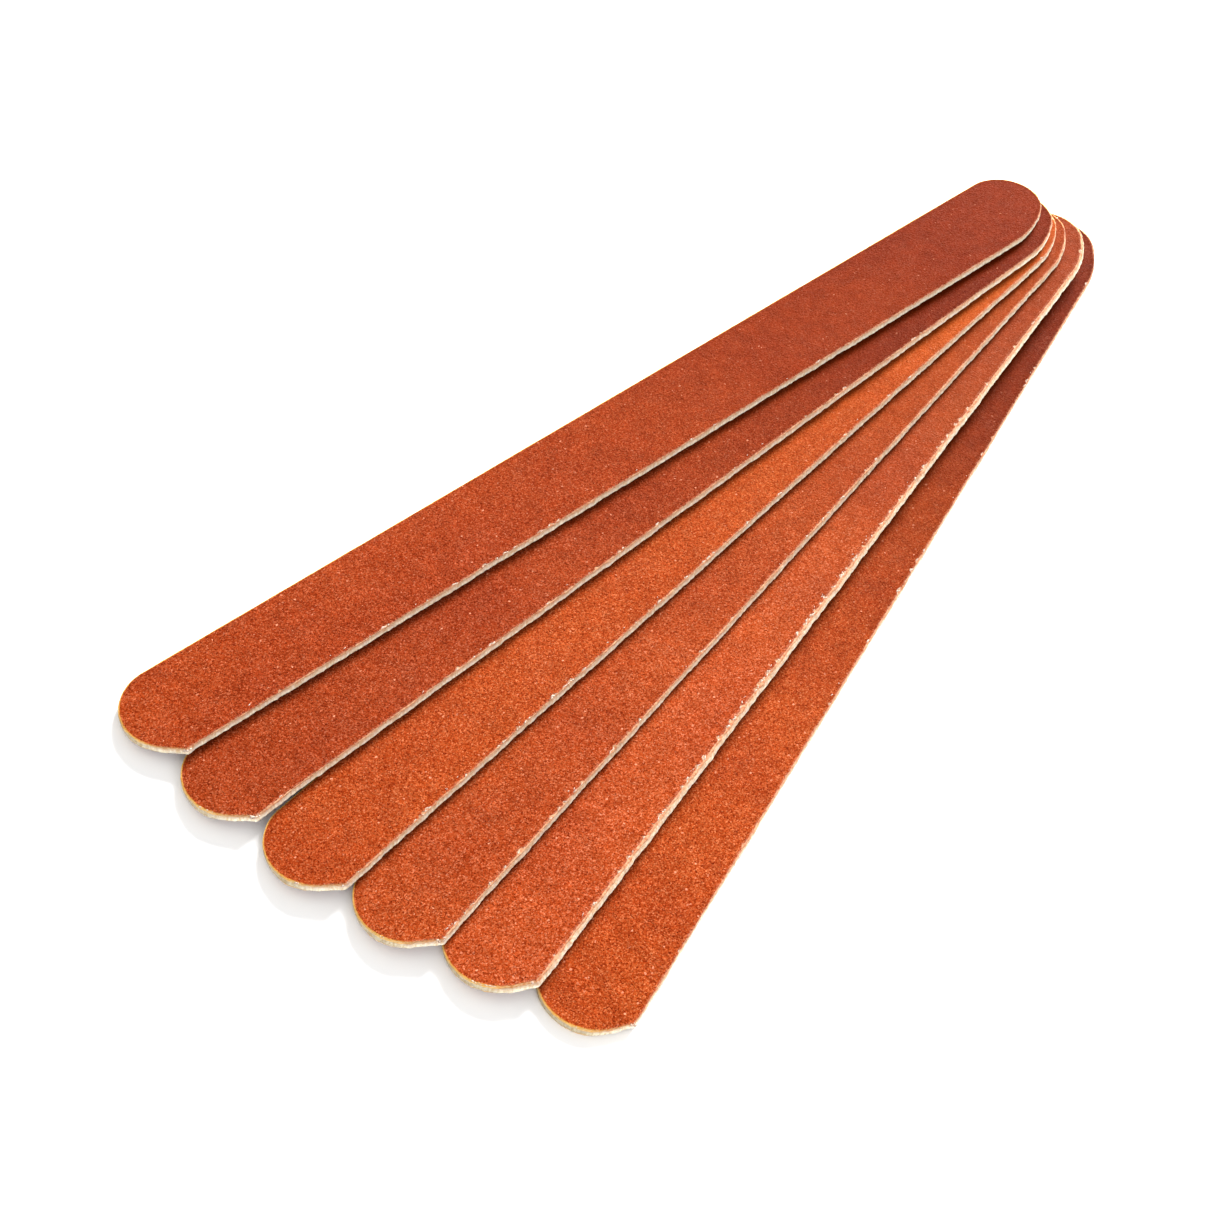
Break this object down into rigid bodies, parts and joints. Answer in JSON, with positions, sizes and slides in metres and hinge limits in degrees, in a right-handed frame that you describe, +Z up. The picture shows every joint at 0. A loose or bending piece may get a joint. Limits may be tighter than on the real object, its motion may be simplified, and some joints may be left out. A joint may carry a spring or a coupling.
{
  "type": "sanding stick set",
  "caption": "Fanned set of thin double-sided sanding sticks: round-ended paperboard strips with orange garnet grit on both faces, for shaping and smoothing small models.",
  "frame": {"origin": "middle of the underside of stick_1, the bottom stick of the fan, on the table", "axes": "+Y runs along stick_1 towards the end where the fan is gathered, +X to its right with the fan opening to the left at the -Y end, +Z up"},
  "size_m": [0.0815, 0.1806, 0.0102],
  "materials": {
    "board": "matte",
    "glue": "matte",
    "backing_paper": "matte",
    "garnet_grit_1": "matte",
    "garnet_grit_2": "matte",
    "garnet_grit_3": "matte",
    "garnet_grit_4": "matte",
    "garnet_grit_5": "matte",
    "garnet_grit_6": "matte"
  },
  "bodies": {
    "stick_1": {"stick_1_bottom_grit": "garnet_grit_1", "stick_1_bottom_paper": "backing_paper", "stick_1_bottom_glue": "glue", "stick_1_core": "board", "stick_1_top_glue": "glue", "stick_1_top_paper": "backing_paper", "stick_1_top_grit": "garnet_grit_1"},
    "stick_2": {"stick_2_bottom_grit": "garnet_grit_2", "stick_2_bottom_paper": "backing_paper", "stick_2_bottom_glue": "glue", "stick_2_core": "board", "stick_2_top_glue": "glue", "stick_2_top_paper": "backing_paper", "stick_2_top_grit": "garnet_grit_2"},
    "stick_3": {"stick_3_bottom_grit": "garnet_grit_3", "stick_3_bottom_paper": "backing_paper", "stick_3_bottom_glue": "glue", "stick_3_core": "board", "stick_3_top_glue": "glue", "stick_3_top_paper": "backing_paper", "stick_3_top_grit": "garnet_grit_3"},
    "stick_4": {"stick_4_bottom_grit": "garnet_grit_4", "stick_4_bottom_paper": "backing_paper", "stick_4_bottom_glue": "glue", "stick_4_core": "board", "stick_4_top_glue": "glue", "stick_4_top_paper": "backing_paper", "stick_4_top_grit": "garnet_grit_4"},
    "stick_5": {"stick_5_bottom_grit": "garnet_grit_5", "stick_5_bottom_paper": "backing_paper", "stick_5_bottom_glue": "glue", "stick_5_core": "board", "stick_5_top_glue": "glue", "stick_5_top_paper": "backing_paper", "stick_5_top_grit": "garnet_grit_5"},
    "stick_6": {"stick_6_bottom_grit": "garnet_grit_6", "stick_6_bottom_paper": "backing_paper", "stick_6_bottom_glue": "glue", "stick_6_core": "board", "stick_6_top_glue": "glue", "stick_6_top_paper": "backing_paper", "stick_6_top_grit": "garnet_grit_6"}
  },
  "joints": [
    {"name": "stick_2_swivel", "type": "hinge", "parent": "stick_1", "child": "stick_2", "pos_m": [-0.0364, 0.11525, -0.00194], "axis": [-0.1209, 0, 0.9927], "range_deg": [0, 3.6]},
    {"name": "stick_3_swivel", "type": "hinge", "parent": "stick_2", "child": "stick_3", "pos_m": [-0.03383, 0.12084, -0.00163], "axis": [-0.1209, 0, 0.9927], "range_deg": [0, 3.5]},
    {"name": "stick_4_swivel", "type": "hinge", "parent": "stick_3", "child": "stick_4", "pos_m": [-0.02534, 0.09577, -0.00059], "axis": [-0.1209, 0, 0.9927], "range_deg": [0, 4.4]},
    {"name": "stick_5_swivel", "type": "hinge", "parent": "stick_4", "child": "stick_5", "pos_m": [-0.01494, 0.08467, 0.00068], "axis": [-0.1209, 0, 0.9927], "range_deg": [0, 5]},
    {"name": "stick_6_swivel", "type": "hinge", "parent": "stick_5", "child": "stick_6", "pos_m": [-0.00219, 0.11294, 0.00223], "axis": [-0.1209, 0, 0.9927], "range_deg": [0, 3.8]}
  ]
}
